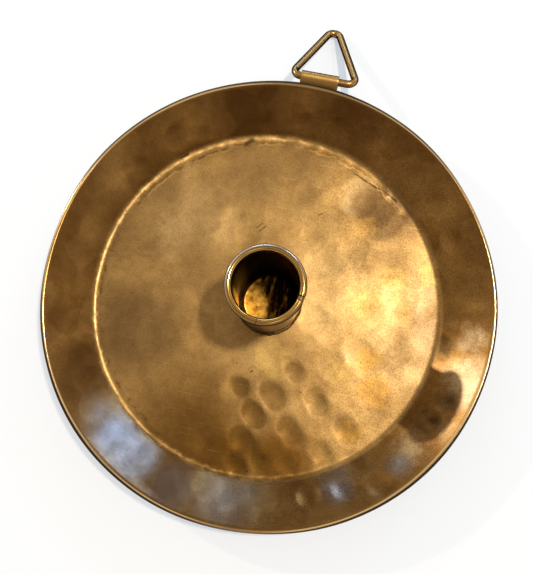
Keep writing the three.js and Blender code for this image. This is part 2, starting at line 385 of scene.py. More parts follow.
def thicken(piece, sheet):
    apply_modifier(piece, "SOLIDIFY", thickness=sheet, offset=0.0, use_even_offset=True)


def smooth(piece, angle=40):
    only(piece)
    bpy.ops.object.shade_smooth_by_angle(angle=math.radians(angle))


print("sheet of the pan, mm:", round(PAN_SHEET / MM, 2))

# %% [markdown]
# The rim is pulled first, then the floor is shifted as one, with the wall following it up to the rim. Only
# now does the sheet get its thickness, and the shading is smoothed except where faces meet at a sharp
# angle.

# %% Pull the pan out of true
RIM_PULLS = [  # angle in the picture clockwise from its right, and the pull outwards in millimetres
    (45, 0.3), (95, -0.5), (145, 0.3), (197, -0.6), (281, 0.35), (337, -0.6),
]
PULL_REACH = 42 * MM
FLOOR_OFF_CENTRE = 0.8 * MM  # to the left in the picture
pulls = []
for angle, outwards in RIM_PULLS:
    turn = PICTURE_TURN - math.radians(angle)
    out = Vector((math.cos(turn), math.sin(turn), 0))
    pulls.append((out * rim_radius + Vector((0, 0, rim_height)), out * outwards * MM, PULL_REACH))
strike(pan, pulls, "SMOOTH")

FLOOR_SHIFT = Matrix.Rotation(PICTURE_TURN, 3, "Z") @ Vector((-FLOOR_OFF_CENTRE, 0, 0))
only(pan)
bpy.ops.object.mode_set(mode="EDIT")
bpy.ops.mesh.select_all(action="DESELECT")
mesh = bmesh.from_edit_mesh(pan.data)
for vertex in mesh.verts:
    vertex.select_set(vertex.co.xy.length < FLOOR_RADIUS)
bpy.ops.transform.translate(
    value=FLOOR_SHIFT,
    use_proportional_edit=True,
    proportional_edit_falloff="LINEAR",
    proportional_size=rim_radius - FLOOR_RADIUS,
)
bpy.ops.object.mode_set(mode="OBJECT")
thicken(pan, PAN_SHEET)
smooth(pan)

# %% [markdown]
# ## Tools for finishes
# Old brass is one metal with many faces: gold where hands rub it, brown where it is left alone, black in
# pits and corners. Each finish below is built from the same few parts. Soft noise lays patina, fine noise
# gives the grain, small cells leave pits, and a distance from the axis finds a crease or an edge. All of
# them read Object coordinates, which are metres on the real plate, so a noise scale of 100 makes marks
# about a centimetre across.

# %% Sums and colours
def new_finish(name, coat=0.0):
    """A bare metal under a thin old film of wax, with its place on the object as a starting point."""
    material = bpy.data.materials.new(name)
    material.use_nodes = True
    tree = material.node_tree
    shader = tree.nodes["Principled BSDF"]
    shader.inputs["Metallic"].default_value = 1.0
    shader.inputs["Coat Weight"].default_value = coat
    shader.inputs["Coat Roughness"].default_value = 0.2
    return material, tree, shader, tree.nodes.new("ShaderNodeTexCoord")


def connect(tree, socket, value):
    """Puts a number or a colour on a socket, or links another socket to it."""
    if isinstance(value, (int, float)):
        socket.default_value = value
    elif isinstance(value, tuple):
        socket.default_value = (*value, 1.0) if len(socket.default_value) == 4 else value
    else:
        tree.links.new(value, socket)


def calculate(tree, operation, first, second):
    node = tree.nodes.new("ShaderNodeMath")
    node.operation = operation
    connect(tree, node.inputs[0], first)
    connect(tree, node.inputs[1], second)
    return node.outputs[0]


def times(tree, first, *others):
    for other in others:
        first = calculate(tree, "MULTIPLY", first, other)
    return first


def plus(tree, first, second):
    return calculate(tree, "ADD", first, second)


def less(tree, first, second):
    return calculate(tree, "SUBTRACT", first, second)


def larger(tree, first, second):
    return calculate(tree, "MAXIMUM", first, second)


def without_sign(tree, value):
    return calculate(tree, "ABSOLUTE", value, 0.0)


def blend(tree, factor, first, second, way="MIX"):
    node = tree.nodes.new("ShaderNodeMix")
    node.data_type = "RGBA"
    node.blend_type = way
    connect(tree, node.inputs["Factor"], factor)
    connect(tree, node.inputs[6], first)
    connect(tree, node.inputs[7], second)
    return node.outputs[2]


def remap(tree, value, low, high, to_low=0.0, to_high=1.0):
    node = tree.nodes.new("ShaderNodeMapRange")
    node.interpolation_type = "SMOOTHSTEP"
    tree.links.new(value, node.inputs["Value"])
    for socket, number in zip(("From Min", "From Max", "To Min", "To Max"), (low, high, to_low, to_high)):
        node.inputs[socket].default_value = number
    return node.outputs["Result"]


TARNISH = (0.045, 0.028, 0.014)
print("darkest tarnish:", TARNISH)

# %% [markdown]
# The patterns come next. Each returns a number between zero and one that says how much of a mark there is
# at a place, and a finish then uses that number to blend one colour into another.

# %% Patterns
def noise(tree, place, scale, detail=3.0, roughness=0.55, distortion=0.0):
    texture = tree.nodes.new("ShaderNodeTexNoise")
    tree.links.new(place, texture.inputs["Vector"])
    texture.inputs["Scale"].default_value = scale
    texture.inputs["Detail"].default_value = detail
    texture.inputs["Roughness"].default_value = roughness
    texture.inputs["Distortion"].default_value = distortion
    return texture.outputs["Fac"]


def moved(tree, place, move=(0, 0, 0), turn=0.0, scale=(1, 1, 1)):
    node = tree.nodes.new("ShaderNodeMapping")
    tree.links.new(place, node.inputs["Vector"])
    node.inputs["Location"].default_value = move
    node.inputs["Rotation"].default_value = (0, 0, turn)
    node.inputs["Scale"].default_value = scale
    return node.outputs["Vector"]


def from_axis(tree, place):
    """Distance from the Z axis."""
    flat = tree.nodes.new("ShaderNodeVectorMath")
    flat.operation = "LENGTH"
    tree.links.new(moved(tree, place, scale=(1, 1, 0)), flat.inputs[0])
    return flat.outputs["Value"]


def part_of(tree, vector, axis):
    node = tree.nodes.new("ShaderNodeSeparateXYZ")
    tree.links.new(vector, node.inputs[0])
    return node.outputs[axis]


def near(tree, value, middle, width):
    """One where a value equals the middle, falling to zero a width away from it."""
    distance = without_sign(tree, less(tree, value, middle))
    return remap(tree, distance, 0.0, width, 1.0, 0.0)


def pits(tree, place, scale, size):
    """One in the middle of a small pit, fading to zero at its edge."""
    cells = tree.nodes.new("ShaderNodeTexVoronoi")
    tree.links.new(place, cells.inputs["Vector"])
    cells.inputs["Scale"].default_value = scale
    return remap(tree, cells.outputs["Distance"], size * 0.5, size, 1.0, 0.0)


def scratches(tree, place, turn, spread=26.0, fineness=1500.0):
    """Thin straight lines in one direction: noise that is squeezed across and stretched along."""
    lines = noise(tree, moved(tree, place, turn=turn, scale=(spread, fineness, spread)), 1.0, 1.0)
    return remap(tree, lines, 0.70, 0.76)


def roughen(tree, shader, height, depth, strength=0.4):
    bump = tree.nodes.new("ShaderNodeBump")
    bump.inputs["Strength"].default_value = strength
    bump.inputs["Distance"].default_value = depth
    tree.links.new(height, bump.inputs["Height"])
    tree.links.new(bump.outputs["Normal"], shader.inputs["Normal"])


print("marks of a noise of scale 260, mm across:", round(1 / 260 / MM, 1))

# %% [markdown]
# ## The pan's finish
# The pan shows the most wear, and its colour changes from place to place. Much of that change is painted
# light: a painted highlight on the right side of the floor, where the high lamp shines in it, painted shade at
# its left and bottom, where it mirrors the dim room, and a painted grey reflection of the windows on the wall
# nearest the viewer. Each of these is a soft spot round a pixel of the photograph, and the same noise that
# clouds the metal frays the edge of the spot.

# %% Spots and facets
SOFT, FIRM = 0.15, 0.5  # how much of a spot's reach is even
FACET_WARP = 5 * MM


def spots(tree, place, frayed, places, core=SOFT):
    """The strongest of several spots. Each is (pixel x, pixel y, reach in millimetres, strength), and is even
    within the core, a part of its reach."""
    strongest = 0.0
    for pixel_x, pixel_y, reach, strength in places:
        away = tree.nodes.new("ShaderNodeVectorMath")
        away.operation = "DISTANCE"
        tree.links.new(place, away.inputs[0])
        away.inputs[1].default_value = on_pan(pixel_x, pixel_y)
        distance = plus(tree, away.outputs["Value"], frayed)
        spot = remap(tree, distance, core * reach * MM, reach * MM, strength, 0.0)
        strongest = larger(tree, spot, strongest)
    return strongest


def facets(tree, place, scale):
    """A random number for each of many soft-edged cells, like the faces that a hammer leaves."""
    warp = tree.nodes.new("ShaderNodeTexNoise")
    tree.links.new(place, warp.inputs["Vector"])
    warp.inputs["Scale"].default_value = 120.0
    shift = tree.nodes.new("ShaderNodeVectorMath")
    shift.operation = "MULTIPLY_ADD"
    tree.links.new(warp.outputs["Color"], shift.inputs[0])
    shift.inputs[1].default_value = (FACET_WARP, FACET_WARP, FACET_WARP)
    tree.links.new(place, shift.inputs[2])
    cells = tree.nodes.new("ShaderNodeTexVoronoi")
    cells.feature = "SMOOTH_F1"
    tree.links.new(shift.outputs["Vector"], cells.inputs["Vector"])
    cells.inputs["Scale"].default_value = scale
    cells.inputs["Smoothness"].default_value = 0.35
    return part_of(tree, cells.outputs["Color"], "X")


print("even part of a soft and of a firm spot:", SOFT, FIRM)

# %% [markdown]
# Where the spots lie is kept apart from what they look like, so that either can be changed alone. Each spot
# is a pixel of the photograph, a reach in millimetres and a strength.

# %% Places of the spots
# Painted shade: the brown spots darken the bottom and lower left of the floor, where it mirrors the dim room.
FLOOR_SHADE_SPOTS = [(275, 462, 24, 1.0), (195, 430, 34, 0.9), (225, 458, 24, 1.0), (289, 460, 9, 1.0)]
DUSKY_SPOTS = [
    (140, 325, 22, 0.8), (372, 208, 11, 1.0), (388, 226, 12, 1.0), (362, 253, 8, 0.6), (300, 165, 16, 0.5),
    (262, 178, 18, 0.5), (150, 245, 12, 0.4), (375, 408, 12, 0.4),
]
# Painted highlight: the bright spots lighten the floor, mostly on the right, where the high lamp shines in it.
FLOOR_HIGHLIGHT_SPOTS = [
    (416, 345, 16, 0.8), (406, 374, 14, 1.0), (420, 300, 12, 0.5), (385, 335, 16, 0.3), (185, 222, 24, 0.5),
    (270, 362, 16, 0.3), (330, 290, 26, 0.3), (350, 205, 5, 0.8), (358, 196, 5, 0.8),
]
ORANGE_SPOTS = [(367, 360, 6, 0.8), (375, 392, 8, 0.8), (348, 432, 5.5, 0.8), (364, 226, 5, 0.4)]
YELLOW_SPOTS = [
    (393, 279, 6, 0.4), (400, 312, 7, 0.25), (427, 278, 5, 0.5), (366, 304, 8, 0.4), (272, 360, 9, 0.4),
    (340, 372, 6, 0.3),
]
# Painted reflection: a grey-blue sheen on the wall nearest the viewer, where it mirrors the cool windows.
WINDOW_SHEEN_SPOTS = [
    (116, 436, 16, 0.65), (135, 458, 14, 0.6), (100, 415, 10, 0.4), (165, 484, 14, 0.4), (225, 500, 18, 0.3),
    (247, 492, 8, 0.3), (340, 488, 9, 0.5), (399, 464, 10, 0.75),
]
# Painted shade: the dark wall spots darken the wall, most of all at the top, where it mirrors the dim room.
DARK_WALL_SPOTS = [
    (250, 105, 26, 0.9), (345, 118, 22, 0.7), (420, 165, 20, 0.6), (470, 235, 14, 0.4), (78, 372, 16, 0.8),
    (430, 460, 12, 0.3), (472, 285, 10, 0.5),
]
SHADE_SPOTS = [(449, 325, 8, 0.4), (443, 346, 8, 1.0), (446, 401, 6, 0.7), (430, 421, 6, 0.7)]
BRIGHT_WALL_SPOTS = [(120, 178, 20, 0.9), (92, 235, 14, 0.5), (400, 160, 10, 0.4)]
# Painted highlight: the pale spots lighten and whiten the wall where the low warm lamp shines in it.
LAMP_HIGHLIGHT_WALL_SPOTS = [(470, 380, 13, 0.9), (472, 338, 8, 0.6), (448, 432, 8, 0.2), (410, 448, 9, 0.5)]
RUBBED_SPOTS = [(424, 153, 8, 1.0), (413, 140, 6, 0.8), (434, 168, 6, 0.8)]
floor_spots = FLOOR_SHADE_SPOTS + DUSKY_SPOTS + FLOOR_HIGHLIGHT_SPOTS + ORANGE_SPOTS + YELLOW_SPOTS
print("spots on the floor:", len(floor_spots))

# %% [markdown]
# The floor and the wall start as two clouded brasses and are then touched up, one kind of spot after
# another. Many of the spots are painted light: bright floor spots and pale wall spots are painted highlights,
# and brown floor spots, dark wall spots and shade spots are painted shade. The wall also shows the flat faces
# that light blows left, and a painted grey reflection of the windows lies over them.

# %% Colour the floor and the wall
FLOOR_GOLD = (0.57, 0.357, 0.125)
FLOOR_DUSKY = (0.225, 0.132, 0.049)
FLOOR_SHADE_BROWN = (0.18, 0.084, 0.012)
HIGHLIGHT_AND_SCRATCH_GOLD = (0.78, 0.56, 0.26)
YELLOW_GOLD = (0.68, 0.46, 0.12)
ORANGE_GOLD = (0.56, 0.31, 0.07)
WALL_BROWN = (0.72, 0.43, 0.14)
WALL_DARK = (0.28, 0.142, 0.034)
WALL_SHADE = (0.09, 0.048, 0.012)
HOLLOW_DARK = (0.14, 0.066, 0.008)
BRIGHT_WALL = (0.85, 0.53, 0.19)
LAMP_HIGHLIGHT_PALE = (0.85, 0.70, 0.46)
WINDOW_SHEEN_GREY = (0.36, 0.41, 0.46)
RUBBED_ORANGE = (0.80, 0.47, 0.12)
FACET_TINT = (0.66, 0.57, 0.46)

material, tree, shader, coordinates = new_finish("beaten_pan_brass", coat=0.25)
place = coordinates.outputs["Object"]
floor_out = from_axis(tree, moved(tree, place, move=-FLOOR_SHIFT))
rim_out = from_axis(tree, place)
on_wall = remap(tree, floor_out, 66.5 * MM, 69 * MM)
cloud = noise(tree, place, 26.0, 2.5, 0.5, 0.5)
mottle = noise(tree, place, 260.0, 3.0, 0.6)
grain = noise(tree, place, 1900.0, 2.0)
widely_frayed = remap(tree, cloud, 0.3, 0.7, -7 * MM, 7 * MM)
gently_frayed = remap(tree, cloud, 0.3, 0.7, -3 * MM, 3 * MM)
finely_frayed = remap(tree, mottle, 0.3, 0.7, -1.5 * MM, 1.5 * MM)

floor = blend(tree, remap(tree, cloud, 0.36, 0.66, 0.1, 0.5), FLOOR_GOLD, FLOOR_DUSKY)
for places, frayed, core, tone in (
    (FLOOR_HIGHLIGHT_SPOTS, widely_frayed, SOFT, HIGHLIGHT_AND_SCRATCH_GOLD),
    (DUSKY_SPOTS, widely_frayed, SOFT, FLOOR_DUSKY),
    (FLOOR_SHADE_SPOTS, gently_frayed, SOFT, FLOOR_SHADE_BROWN),
    (YELLOW_SPOTS, finely_frayed, FIRM, YELLOW_GOLD),
    (ORANGE_SPOTS, finely_frayed, FIRM, ORANGE_GOLD),
):
    floor = blend(tree, spots(tree, place, frayed, places, core), floor, tone)
wall = blend(tree, remap(tree, cloud, 0.36, 0.64, 0.1, 0.75), WALL_BROWN, WALL_DARK)
for places, frayed, tone in (
    (BRIGHT_WALL_SPOTS, widely_frayed, BRIGHT_WALL),
    (LAMP_HIGHLIGHT_WALL_SPOTS, finely_frayed, LAMP_HIGHLIGHT_PALE),
    (DARK_WALL_SPOTS, gently_frayed, WALL_DARK),
    (SHADE_SPOTS, finely_frayed, WALL_SHADE),
):
    wall = blend(tree, spots(tree, place, frayed, places), wall, tone)
rubbed = times(tree, spots(tree, place, finely_frayed, RUBBED_SPOTS), remap(tree, grain, 0.45, 0.6), 0.6)
wall = blend(tree, rubbed, wall, RUBBED_ORANGE)
colour = blend(tree, on_wall, floor, wall)

facet = facets(tree, place, 95.0)
facet_dark = times(tree, remap(tree, facet, 0.2, 0.8), remap(tree, on_wall, 0.0, 1.0, 0.25, 0.7))
colour = blend(tree, facet_dark, colour, FACET_TINT, "MULTIPLY")
# The painted reflection of the windows goes over the wall's colour.
window_sheen = times(tree, spots(tree, place, gently_frayed, WINDOW_SHEEN_SPOTS), on_wall)
colour = blend(tree, window_sheen, colour, WINDOW_SHEEN_GREY)
print("nodes in the pan's colour:", len(tree.nodes))

# %% [markdown]
# Wear follows the shape as well. Deep hollows are darker, most of all at the left of the floor, and only a
# little on the wall. Fine mottling and grain break up every colour, and the wall darkens towards the rim.

# %% Darken the hollows and the grain
MOTTLE_TINT = (0.6, 0.5, 0.4)
GRAIN_TINT = (0.5, 0.45, 0.4)
OUTER_TINT = (0.45, 0.38, 0.3)
attribute = tree.nodes.new("ShaderNodeAttribute")
attribute.attribute_name = "hollow"
in_hollow = remap(tree, attribute.outputs["Fac"], 0.1, 0.3)
picture = moved(tree, place, turn=-PICTURE_TURN)
rightwards = part_of(tree, picture, "X")
upwards = part_of(tree, picture, "Y")
hollow_dark = times(
    tree,
    in_hollow,
    remap(tree, rightwards, -5 * MM, 20 * MM, 0.65, 0.3),
    remap(tree, on_wall, 0.0, 1.0, 1.0, 0.3),
)
colour = blend(tree, hollow_dark, colour, HOLLOW_DARK)
colour = blend(tree, remap(tree, mottle, 0.35, 0.7, 0.0, 0.35), colour, MOTTLE_TINT, "MULTIPLY")
at_right = remap(tree, rightwards, 0.0, 40 * MM, 0.5, 0.75)
colour = blend(tree, times(tree, remap(tree, grain, 0.3, 0.75), at_right), colour, GRAIN_TINT, "MULTIPLY")
colour = blend(tree, remap(tree, rim_out, 74 * MM, 83 * MM, 0.0, 0.35), colour, OUTER_TINT, "MULTIPLY")
print("hollows read from:", attribute.attribute_name)

# %% [markdown]
# On the left a bright, broken line along the crease is a painted highlight, with a line of painted shade just
# inside it, and at the top the groove gets painted shade beside a ridge with a painted highlight. Each line is
# found by its distance from the axis, and noise makes it waver and come and go.

# %% Paint light and shade along the crease
CREASE_HIGHLIGHT_GOLD = (0.74, 0.47, 0.17)
at_left = remap(tree, rightwards, -10 * MM, 40 * MM, 1.0, 0.0)
ragged = noise(tree, place, 420.0)
wavering = plus(tree, floor_out, remap(tree, mottle, 0.3, 0.7, -0.6 * MM, 0.6 * MM))
wavering = plus(tree, wavering, remap(tree, ragged, 0.3, 0.7, -0.4 * MM, 0.4 * MM))
# Painted shade just inside the crease.
crease_shade = near(tree, wavering, 64.8 * MM, 1.3 * MM)
crease_shade = times(tree, crease_shade, remap(tree, ragged, 0.48, 0.62, 0.0, 0.7), at_left)
colour = blend(tree, crease_shade, colour, FLOOR_SHADE_BROWN)
# Painted highlight along the crease, strongest on the left.
crease_highlight = times(
    tree,
    near(tree, wavering, 66.5 * MM, 1.4 * MM),
    remap(tree, noise(tree, place, 650.0), 0.35, 0.6, 0.5, 1.0),
    remap(tree, noise(tree, place, 150.0), 0.4, 0.6, 0.25, 1.0),
    at_left,
    remap(tree, upwards, -50 * MM, 0.0, 0.35, 1.0),
)
colour = blend(tree, crease_highlight, colour, CREASE_HIGHLIGHT_GOLD)
at_top = remap(tree, upwards, 30 * MM, 50 * MM)
at_top = times(tree, at_top, remap(tree, noise(tree, place, 90.0), 0.42, 0.58, 0.15, 1.0))
# At the top, painted shade in the groove and a painted highlight on the ridge.
groove_shade = times(tree, near(tree, wavering, 64.6 * MM, 0.7 * MM), at_top, 0.85)
colour = blend(tree, groove_shade, colour, WALL_DARK)
ridge_highlight = times(tree, near(tree, wavering, 63.5 * MM, 0.6 * MM), at_top, 0.5)
colour = blend(tree, ridge_highlight, colour, CREASE_HIGHLIGHT_GOLD)
print("nodes with the crease:", len(tree.nodes))

# %% [markdown]
# The crest of the rim gets a painted highlight as well as a polish, a darker line runs just inside it, and its
# outside is made dark. Under the candle the floor is black with soot. Pits, specks and fine scratches finish
# the colour.

# %% Paint the rim's highlight and pit the metal
CREST_HIGHLIGHT_GOLD = (0.95, 0.74, 0.42)
SOOT = (0.006, 0.003, 0.001)
# Painted highlight on the crest, a darker line just inside it, and the rim's outside made dark.
crest = near(tree, rim_out, 83.7 * MM, 0.45 * MM)
beside_crest = times(tree, near(tree, rim_out, 83.0 * MM, 0.5 * MM), 0.6)
colour = blend(tree, beside_crest, colour, WALL_DARK)
colour = blend(tree, crest, colour, CREST_HIGHLIGHT_GOLD)
colour = blend(tree, remap(tree, rim_out, 84.0 * MM, 84.35 * MM), colour, TARNISH)
socket_axis = sum(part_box("lip_wire"), Vector()) / 2
under_candle = from_axis(tree, moved(tree, place, move=(-socket_axis.x, -socket_axis.y, 0)))
under_candle = remap(tree, under_candle, 11.2 * MM, 11.6 * MM, 1.0, 0.0)
colour = blend(tree, under_candle, colour, SOOT)

crease_pit = times(tree, near(tree, floor_out, 66.0 * MM, 1.6 * MM), pits(tree, place, 420.0, 0.16), at_left)
pit = larger(tree, pits(tree, place, 170.0, 0.055), crease_pit)
lines = larger(tree, scratches(tree, place, 0.9, 60.0), scratches(tree, place, 2.6, 60.0))
lines = times(tree, lines, remap(tree, on_wall, 0.0, 1.0, 0.15, 0.02))
colour = blend(tree, lines, colour, HIGHLIGHT_AND_SCRATCH_GOLD)
speck = times(tree, pits(tree, place, 520.0, 0.16), remap(tree, mottle, 0.45, 0.65, 0.0, 0.4))
colour = blend(tree, larger(tree, times(tree, pit, 0.6), speck), colour, TARNISH)
print("socket axis, mm:", [round(part / MM, 2) for part in socket_axis])

# %% [markdown]
# A few single marks are large enough to be known by: dark nicks in the floor and beside the crease. Each is
# a short stroke between two pixels of the photograph.

# %% Nick the pan
STROKES = [  # pixels of both ends, width in millimetres
    (246, 144, 252, 140, 2.0), (199, 159, 204, 156, 1.0), (256, 228, 262, 223, 0.5), (259, 231, 266, 226, 0.4),
    (354, 173, 366, 181, 0.55), (364, 180, 380, 190, 0.5), (384, 191, 397, 202, 0.4), (181, 158, 188, 154, 0.8),
    (318, 215, 326, 212, 0.35), (232, 456, 233, 457, 0.8), (246, 472, 247, 471, 0.8), (299, 392, 300, 393, 0.7),
    (250, 372, 252, 371, 0.7), (367, 409, 368, 410, 0.6),
]


def stroke(tree, place, first_x, first_y, last_x, last_y, width):
    """One along a short line, fading out at its width."""
    first, last = on_pan(first_x, first_y), on_pan(last_x, last_y)
    middle, along = (first + last) / 2, last - first
    turn = -math.atan2(along.y, along.x)
    turned = moved(tree, moved(tree, place, move=-middle), turn=turn, scale=(1, 1, 0))
    past_end = less(tree, without_sign(tree, part_of(tree, turned, "X")), along.xy.length / 2)
    past_end = larger(tree, past_end, 0.0)
    aside = part_of(tree, turned, "Y")
    squares = plus(tree, times(tree, past_end, past_end), times(tree, aside, aside))
    distance = calculate(tree, "SQRT", squares, 0.0)
    distance = plus(tree, distance, remap(tree, mottle, 0.3, 0.7, -0.2 * MM, 0.2 * MM))
    return remap(tree, distance, 0.1 * width * MM, 0.8 * width * MM, 1.0, 0.0)


nicks = 0.0
for mark in STROKES:
    nicks = larger(tree, stroke(tree, place, *mark), nicks)
colour = blend(tree, times(tree, nicks, 0.75), colour, TARNISH)
pit = larger(tree, pit, nicks)
tree.links.new(colour, shader.inputs["Base Color"])
print("nicks:", len(STROKES))

# %% [markdown]
# Gloss tells as much as colour. The floor is duller than the wall, the rim's crest is polished, and soot
# has no gloss at all. A very shallow bump of grain and pits is the last thing, and then the pan takes its
# place in the frame, where it is shown instead of its plain solid.

# %% Gloss and grain of the pan
def settle(piece, body, node, material):
    """Gives a finished piece its material and ties it to the frame."""
    piece.data.materials.clear()
    piece.data.materials.append(material)
    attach(piece, body)
    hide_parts(node)
    piece.data.calc_loop_triangles()
    print(piece.name, "triangles:", len(piece.data.loop_triangles))


DULL_SPOTS = [(458, 388, 32, 1.0)]
dull = times(tree, spots(tree, place, widely_frayed, DULL_SPOTS), on_wall)
uneven = times(tree, remap(tree, grain, 0.2, 0.8, -0.012, 0.012), remap(tree, on_wall, 0.0, 1.0, 1.0, 0.2))
roughness = plus(tree, remap(tree, cloud, 0.3, 0.7, 0.40, 0.46), uneven)
roughness = plus(tree, roughness, remap(tree, on_wall, 0.0, 1.0, 0.0, -0.17))
roughness = less(tree, roughness, times(tree, crest, 0.14))
roughness = plus(tree, roughness, times(tree, under_candle, 0.4))
roughness = plus(tree, roughness, times(tree, dull, 0.09))
tree.links.new(roughness, shader.inputs["Roughness"])
height = less(tree, grain, times(tree, pit, 4.0))
height = times(tree, height, remap(tree, on_wall, 0.0, 1.0, 1.0, 0.12))
roughen(tree, shader, height, 0.015 * MM)
settle(pan, "plate", "pan", material)

# %% [markdown]
# ## Aged brass for the small pieces
# The small pieces share one recipe: a gold and a brown, clouds between them, grain, pits and fine
# scratches. The recipe can also paint shade on a wire or a rolled edge where it looks away from above and
# from the side of the plate's middle, so that it stays bright only in the middle. Soot, old wax, grey metal,
# painted light and painted shade go on top as layers: each is a place, a colour, and how much duller or
# glossier it is.

# %% The brass recipe
SHADE_AWAY_FROM = (0.0, -0.4, 0.92)


def aged_brass(
    name, gold, brown, rough=(0.34, 0.46), cloud_scale=60.0, coarse=1.0, edge=None, away_shade=None, layers=()
):
    dark_grain = tuple(part * 0.5 for part in brown)
    bright_line = tuple(part * 1.2 for part in gold)
    material, tree, shader, coordinates = new_finish(name)
    if edge:
        shader.inputs["Specular Tint"].default_value = (*edge, 1.0)
    place = coordinates.outputs["Object"]
    cloud = noise(tree, place, cloud_scale, 4.0, 0.6, 0.3)
    grain = noise(tree, place, 1900.0, 2.0)
    lines = larger(tree, scratches(tree, place, 0.5), scratches(tree, place, 2.2))
    pit = pits(tree, place, 260.0, 0.09)
    colour = blend(tree, remap(tree, cloud, 0.36, 0.64), gold, brown)
    colour = blend(tree, remap(tree, grain, 0.3, 0.75, 0.0, 0.4 * coarse), colour, dark_grain)
    colour = blend(tree, times(tree, lines, 0.35 * coarse), colour, bright_line)
    colour = blend(tree, pit, colour, TARNISH)
    # Painted shade: faces turned away from above and the plate's middle are darkened.
    if away_shade:
        facing = tree.nodes.new("ShaderNodeVectorMath")
        facing.operation = "DOT_PRODUCT"
        tree.links.new(coordinates.outputs["Normal"], facing.inputs[0])
        facing.inputs[1].default_value = SHADE_AWAY_FROM
        ragged = plus(tree, facing.outputs["Value"], remap(tree, cloud, 0.3, 0.7, -0.06, 0.06))
        colour = blend(tree, remap(tree, ragged, *away_shade), TARNISH, colour)
    roughness = remap(tree, cloud, 0.3, 0.7, *rough)
    roughness = plus(tree, roughness, remap(tree, grain, 0.2, 0.8, -0.04 * coarse, 0.04 * coarse))
    for layer in layers:
        amount, layer_colour, duller = layer(tree, place)
        colour = blend(tree, amount, colour, layer_colour)
        roughness = plus(tree, roughness, times(tree, amount, duller))
    tree.links.new(colour, shader.inputs["Base Color"])
    tree.links.new(roughness, shader.inputs["Roughness"])
    height = less(tree, grain, times(tree, pit, 3.0))
    height = less(tree, height, times(tree, lines, 0.3))
    roughen(tree, shader, height, 0.03 * coarse * MM)
    return material


print("rubbed from:", SHADE_AWAY_FROM)

# %% [markdown]
# The socket was soldered on a little out of plumb, leaning towards the ring, so its layers are placed from
# its own leaning axis. Smoke has blackened the bore, and painted shade deepens it; a brown strip and a painted
# patch of light lie low on its left wall. The outside of the tube is brown, and the curled lip has been rubbed
# gold inside and is grey outside, the grey partly a painted reflection of the windows on the far side. Painted
# shade draws dark lines round the curl and in the seam's notch, and a dark line marks a crack.

# %% Layers of the socket
SOCKET_LEAN = (math.radians(-0.7), 0, 0)
SEAM_AZIMUTH = math.radians(-10)
CRACK_AZIMUTH = math.radians(-92)
BORE_FACE = (11.60 * MM, 11.72 * MM)  # from the bore's face into the sheet
LIP_START = (40.0 * MM, 41.0 * MM)  # heights between which the lip's colours set in
BORE_BROWN = (0.16, 0.085, 0.02)
BORE_LIT_GOLD = (0.90, 0.50, 0.10)
TUBE_BROWN = (0.12, 0.064, 0.016)
LIP_GREY = (0.62, 0.58, 0.53)
LIP_SHADE_AND_CRACK = (0.05, 0.028, 0.012)


def in_socket(tree, place):
    """The same place, counted from the foot of the socket along its own axis."""
    node = tree.nodes.new("ShaderNodeMapping")
    node.vector_type = "TEXTURE"
    tree.links.new(place, node.inputs["Vector"])
    node.inputs["Location"].default_value = socket_axis.xy.to_3d()
    node.inputs["Rotation"].default_value = SOCKET_LEAN
    return node.outputs["Vector"]


# Soot in the bore, made darker as painted shade.
def soot_and_shade_in_bore(tree, place):
    own = in_socket(tree, place)
    inside = remap(tree, from_axis(tree, own), *BORE_FACE, 1.0, 0.0)
    below = remap(tree, part_of(tree, own, "Z"), 41.0 * MM, 42.2 * MM, 1.0, 0.0)
    return times(tree, inside, below), SOOT, 0.5


def bore_strip(tree, place, angle, core, edge):
    """A strip of the bore's wall round one angle of the picture, clockwise from its right."""
    own = in_socket(tree, place)
    towards_it = part_of(tree, moved(tree, own, turn=math.radians(angle) - PICTURE_TURN), "X")
    inside = remap(tree, from_axis(tree, own), *BORE_FACE, 1.0, 0.0)
    below = remap(tree, part_of(tree, own, "Z"), 30 * MM, 40 * MM, 1.0, 0.0)
    gone, even = (11.4 * math.cos(math.radians(limit)) * MM for limit in (edge, core))
    return times(tree, inside, below, remap(tree, towards_it, gone, even))


def brown_in_bore(tree, place):
    return bore_strip(tree, place, 195, 15, 40), BORE_BROWN, -0.1


# Painted light: a gold patch low on the bore's left wall, where light falls on it.
def lit_patch_in_bore(tree, place):
    return bore_strip(tree, place, 162, 12, 28), BORE_LIT_GOLD, -0.2


def brown_tube(tree, place):
    own = in_socket(tree, place)
    outside = remap(tree, from_axis(tree, own), *BORE_FACE)
    below = remap(tree, part_of(tree, own, "Z"), 38.0 * MM, 40.5 * MM, 0.85, 0.0)
    return times(tree, outside, below), TUBE_BROWN, 0.12


# Grey metal on the lip's outside, strongest on the far side, where it is a painted reflection of the windows.
def grey_lip_and_reflection(tree, place):
    own = in_socket(tree, place)
    high = remap(tree, part_of(tree, own, "Z"), *LIP_START)
    grey = times(tree, remap(tree, from_axis(tree, own), 12.8 * MM, 13.0 * MM), high)
    up = part_of(tree, moved(tree, own, turn=math.radians(-15) - PICTURE_TURN), "Y")
    grey = times(tree, grey, remap(tree, up, -4 * MM, 9 * MM, 0.05, 0.8))
    return grey, LIP_GREY, -0.04


